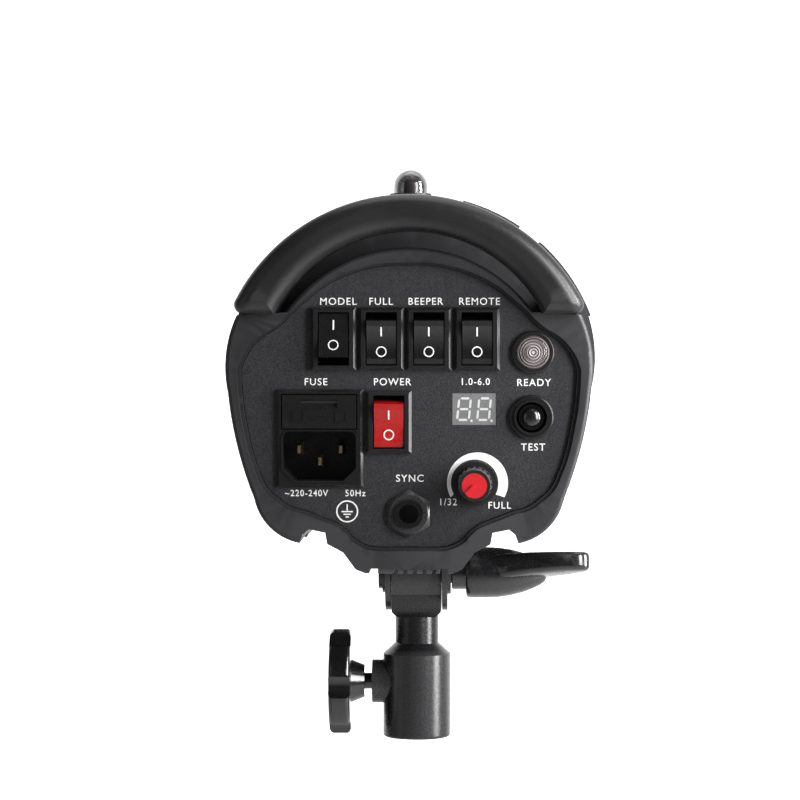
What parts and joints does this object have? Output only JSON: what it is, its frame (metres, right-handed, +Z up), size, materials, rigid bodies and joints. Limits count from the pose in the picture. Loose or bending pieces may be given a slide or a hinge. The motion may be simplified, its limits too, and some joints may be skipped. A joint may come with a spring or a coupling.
{
  "type": "monolight studio flash",
  "caption": "Mains studio flash head with arched grip, rear control panel, front bayonet with ring tube and modelling lamp, on a tilting stand adapter.",
  "frame": {"origin": "centre of the mouth of the stand socket, on the socket's axis", "axes": "+Z up along the stand socket's bore, +Y along the light's axis towards the reflector mount, +X to the right seen from the control panel"},
  "size_m": [0.128, 0.3471, 0.208],
  "materials": {
    "shell": "fine-grained charcoal",
    "panel": "speckled charcoal",
    "handle": "satin black",
    "switch_black": "satin black",
    "rocker_black": "glossy black",
    "rocker_red": "translucent red",
    "knob_red": "red",
    "lens_clear": "ribbed clear",
    "dome_smoke": "smoked clear",
    "display_grey": "light grey window",
    "steel": "plated",
    "nickel": "nickel plated",
    "dark_metal": "black satin",
    "ring_metal": "machined",
    "dish_metal": "polished",
    "ceramic": "glazed ceramic",
    "tube_glass": "clear quartz",
    "bulb_glass": "frosted",
    "board": "green laminate",
    "can_sleeve": "dark blue sleeve",
    "core_iron": "ferrite",
    "fan_plastic": "black"
  },
  "bodies": {
    "stand": {"stand_adapter": "dark_metal"},
    "lock_screw": {"stand_lock_knob": "rocker_black"},
    "lever": {"tilt_lever": "rocker_black"},
    "power_dial": {"power_knob": "switch_black", "knob_cap": "knob_red"},
    "test_key": {"test_button": "rocker_black"},
    "fuse_tray": {"fuse_drawer": "switch_black", "fuses": "nickel"},
    "reflector_catch": {"reflector_lock": "switch_black"},
    "fan": {"fan_rotor": "fan_plastic"},
    "model_key": {"model_rocker": "rocker_black"},
    "full_key": {"full_rocker": "rocker_black"},
    "beeper_key": {"beeper_rocker": "rocker_black"},
    "remote_key": {"remote_rocker": "rocker_black"},
    "power_key": {"power_rocker": "rocker_red"},
    "head": {"accent_strip": "knob_red", "bayonet_ring": "ring_metal", "bayonet_screws": "steel", "beeper_switch": "switch_black", "bulb_cap": "nickel", "buzzer": "fan_plastic", "capacitor_bank": "can_sleeve", "capacitor_bracket": "steel", "carry_handle": "handle", "charge_transformer": "core_iron", "chassis_plate": "steel", "control_board": "board", "control_panel": "panel", "display_module": "display_grey", "fan_frame": "fan_plastic", "flash_tube": "tube_glass", "front_cover": "shell", "full_switch": "switch_black", "inlet_pins": "nickel", "lamp_socket": "ceramic", "main_sleeve": "shell", "mains_inlet": "switch_black", "model_switch": "switch_black", "modelling_bulb": "bulb_glass", "mount_saddle": "dark_metal", "power_board": "board", "power_pot": "steel", "power_switch": "switch_black", "ready_bezel": "switch_black", "ready_lens": "lens_clear", "rear_cover": "shell", "reflector_dish": "dish_metal", "remote_switch": "switch_black", "saddle_screws": "steel", "sensor_base": "switch_black", "sensor_cell": "lens_clear", "sensor_dome": "dome_smoke", "sync_jack": "nickel", "sync_nut": "nickel", "test_bezel": "switch_black", "test_spring": "steel", "tilt_bolt": "steel", "tilt_washers": "steel", "tube_electrodes": "steel", "tube_sockets": "ceramic"}
  },
  "joints": [
    {"name": "head_tilt", "type": "hinge", "parent": "stand", "child": "head", "pos_m": [0, 0, 0.061], "axis": [1, 0, 0], "range_deg": [-75, 75]},
    {"name": "stand_lock_turn", "type": "hinge", "parent": "stand", "child": "lock_screw", "pos_m": [-0.0282, 0, 0.0205], "axis": [1, 0, 0], "range_deg": [-180, 180]},
    {"name": "tilt_lever_swing", "type": "hinge", "parent": "head", "child": "lever", "pos_m": [0.03, 0, 0.061], "axis": [1, 0, 0], "range_deg": [0, 100]},
    {"name": "power_dial_turn", "type": "hinge", "parent": "head", "child": "power_dial", "pos_m": [0.022, -0.128, 0.1007], "axis": [0, 1, 0], "range_deg": [0, 270]},
    {"name": "test_press", "type": "slide", "parent": "head", "child": "test_key", "axis": [0, 1, 0], "range_m": [0, 0.002], "stiffness_N_per_m": 400, "deforming": ["test_spring"]},
    {"name": "fuse_tray_slide", "type": "slide", "parent": "head", "child": "fuse_tray", "axis": [0, -1, 0], "range_m": [0, 0.014]},
    {"name": "reflector_catch_slide", "type": "slide", "parent": "head", "child": "reflector_catch", "axis": [0, -1, 0], "range_m": [0, 0.005], "stiffness_N_per_m": 300},
    {"name": "fan_spin", "type": "hinge", "parent": "head", "child": "fan", "pos_m": [0, -0.052, 0.136], "axis": [0, 1, 0], "continuous": true},
    {"name": "model_toggle", "type": "hinge", "parent": "head", "child": "model_key", "pos_m": [-0.0252, -0.1138, 0.149], "axis": [1, 0, 0], "range_deg": [0, 22]},
    {"name": "full_toggle", "type": "hinge", "parent": "head", "child": "full_key", "pos_m": [-0.0092, -0.1138, 0.149], "axis": [1, 0, 0], "range_deg": [-22, 0]},
    {"name": "beeper_toggle", "type": "hinge", "parent": "head", "child": "beeper_key", "pos_m": [0.0067, -0.1138, 0.149], "axis": [1, 0, 0], "range_deg": [-22, 0]},
    {"name": "remote_toggle", "type": "hinge", "parent": "head", "child": "remote_key", "pos_m": [0.0228, -0.1138, 0.149], "axis": [1, 0, 0], "range_deg": [-22, 0]},
    {"name": "power_toggle", "type": "hinge", "parent": "head", "child": "power_key", "pos_m": [-0.0067, -0.1138, 0.1212], "axis": [1, 0, 0], "range_deg": [-22, 0]}
  ]
}
